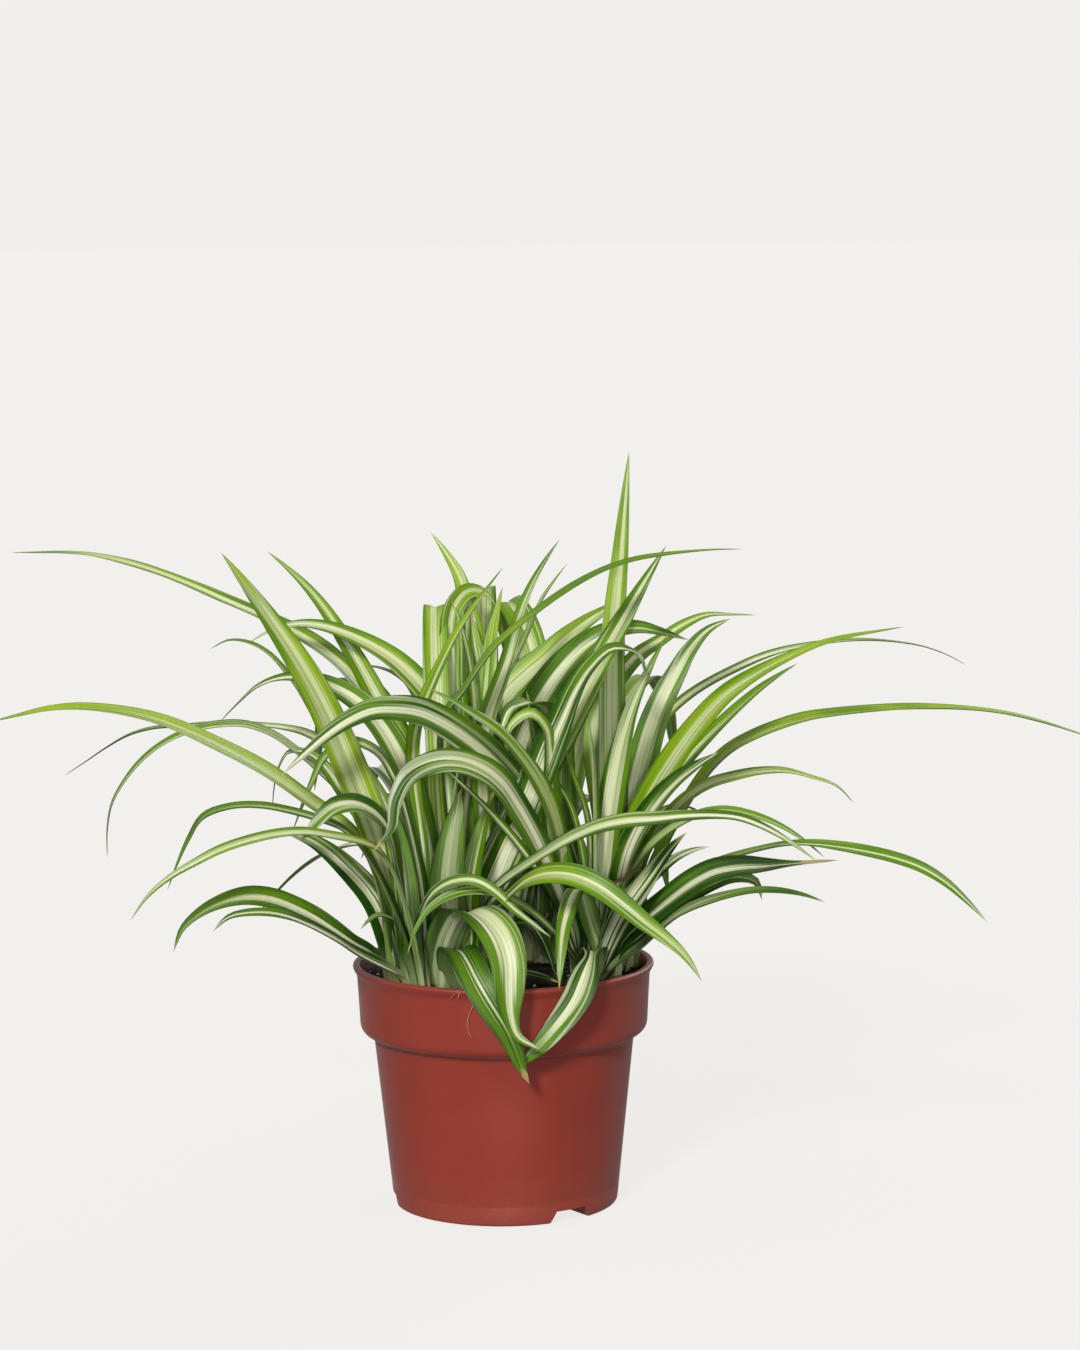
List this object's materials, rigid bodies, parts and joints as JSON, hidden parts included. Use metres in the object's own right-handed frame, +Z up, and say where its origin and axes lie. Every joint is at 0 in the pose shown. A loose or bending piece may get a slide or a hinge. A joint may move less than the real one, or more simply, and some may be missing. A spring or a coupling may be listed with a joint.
{
  "type": "potted spider plant",
  "caption": "Arching striped strap leaves growing from short crowns in a soil-filled round nursery pot with a deep rim collar and drainage pockets underneath.",
  "frame": {"origin": "on the pot's axis, on the flat underside of its foot", "axes": "+Z up along the pot axis, +X to the right and +Y to the back as the plant is seen from the front"},
  "size_m": [0.4491, 0.2843, 0.296],
  "materials": {
    "pot": "satin",
    "soil": "rough",
    "stem": "satin",
    "leaf": "satin"
  },
  "bodies": {
    "root": {"crown_backLeft": "stem", "crown_backRight": "stem", "crown_farRight": "stem", "crown_front": "stem", "crown_left": "stem", "crown_right": "stem", "leaf_back_01": "leaf", "leaf_back_02": "leaf", "leaf_back_03": "leaf", "leaf_back_04": "leaf", "leaf_back_05": "leaf", "leaf_back_06": "leaf", "leaf_front_01": "leaf", "leaf_front_02": "leaf", "leaf_front_03": "leaf", "leaf_front_04": "leaf", "leaf_front_05": "leaf", "leaf_front_06": "leaf", "leaf_front_07": "leaf", "leaf_front_08": "leaf", "leaf_left_01": "leaf", "leaf_left_02": "leaf", "leaf_left_03": "leaf", "leaf_left_04": "leaf", "leaf_left_05": "leaf", "leaf_left_06": "leaf", "leaf_left_07": "leaf", "leaf_left_08": "leaf", "leaf_left_09": "leaf", "leaf_left_10": "leaf", "leaf_left_11": "leaf", "leaf_left_12": "leaf", "leaf_left_13": "leaf", "leaf_left_14": "leaf", "leaf_right_01": "leaf", "leaf_right_02": "leaf", "leaf_right_03": "leaf", "leaf_right_04": "leaf", "leaf_right_05": "leaf", "leaf_right_06": "leaf", "leaf_right_07": "leaf", "leaf_right_08": "leaf", "leaf_right_09": "leaf", "leaf_right_10": "leaf", "leaf_right_11": "leaf", "leaf_right_12": "leaf", "leaf_top_01": "leaf", "leaf_top_02": "leaf", "leaf_top_03": "leaf", "leaf_top_04": "leaf", "leaf_top_05": "leaf", "leaf_top_06": "leaf", "leaf_top_07": "leaf", "leaf_top_08": "leaf", "leaf_top_09": "leaf", "leaf_top_10": "leaf", "leaf_top_11": "leaf", "leaf_top_12": "leaf", "pot": "pot", "potting_soil": "soil"}
  },
  "joints": []
}
